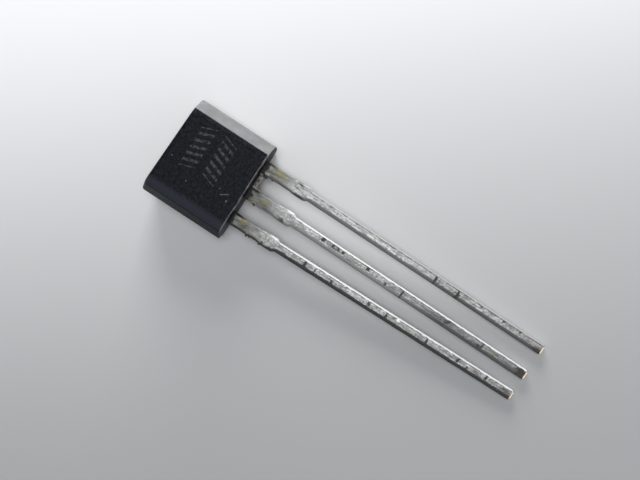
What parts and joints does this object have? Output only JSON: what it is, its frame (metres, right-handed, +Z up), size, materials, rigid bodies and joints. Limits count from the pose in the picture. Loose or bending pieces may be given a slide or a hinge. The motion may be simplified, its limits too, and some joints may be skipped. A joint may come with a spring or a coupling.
{
  "type": "to-92 transistor",
  "caption": "Black moulded three-lead transistor in a short flat-fronted body, with long straight tinned leads, lying on its back.",
  "frame": {"origin": "on the ground under the middle of the whole length, body and leads together", "axes": "+Z up, out of the marked face, +Y from the lead tips towards the body's top end, +X across the body"},
  "size_m": [0.0046, 0.0178, 0.0025],
  "materials": {
    "resin": "black epoxy moulding resin, dull satin",
    "tinned_copper": "tin dip over copper alloy, dulled and stained",
    "solder": "soft solder film",
    "silicon": "polished silicon",
    "bond_wire": "plain aluminium wire"
  },
  "bodies": {
    "root": {"moulded_body": "resin", "collector_lead": "tinned_copper", "base_lead": "tinned_copper", "emitter_lead": "tinned_copper", "die_solder": "solder", "silicon_die": "silicon", "base_bond_wire": "bond_wire", "emitter_bond_wire": "bond_wire"}
  },
  "joints": []
}
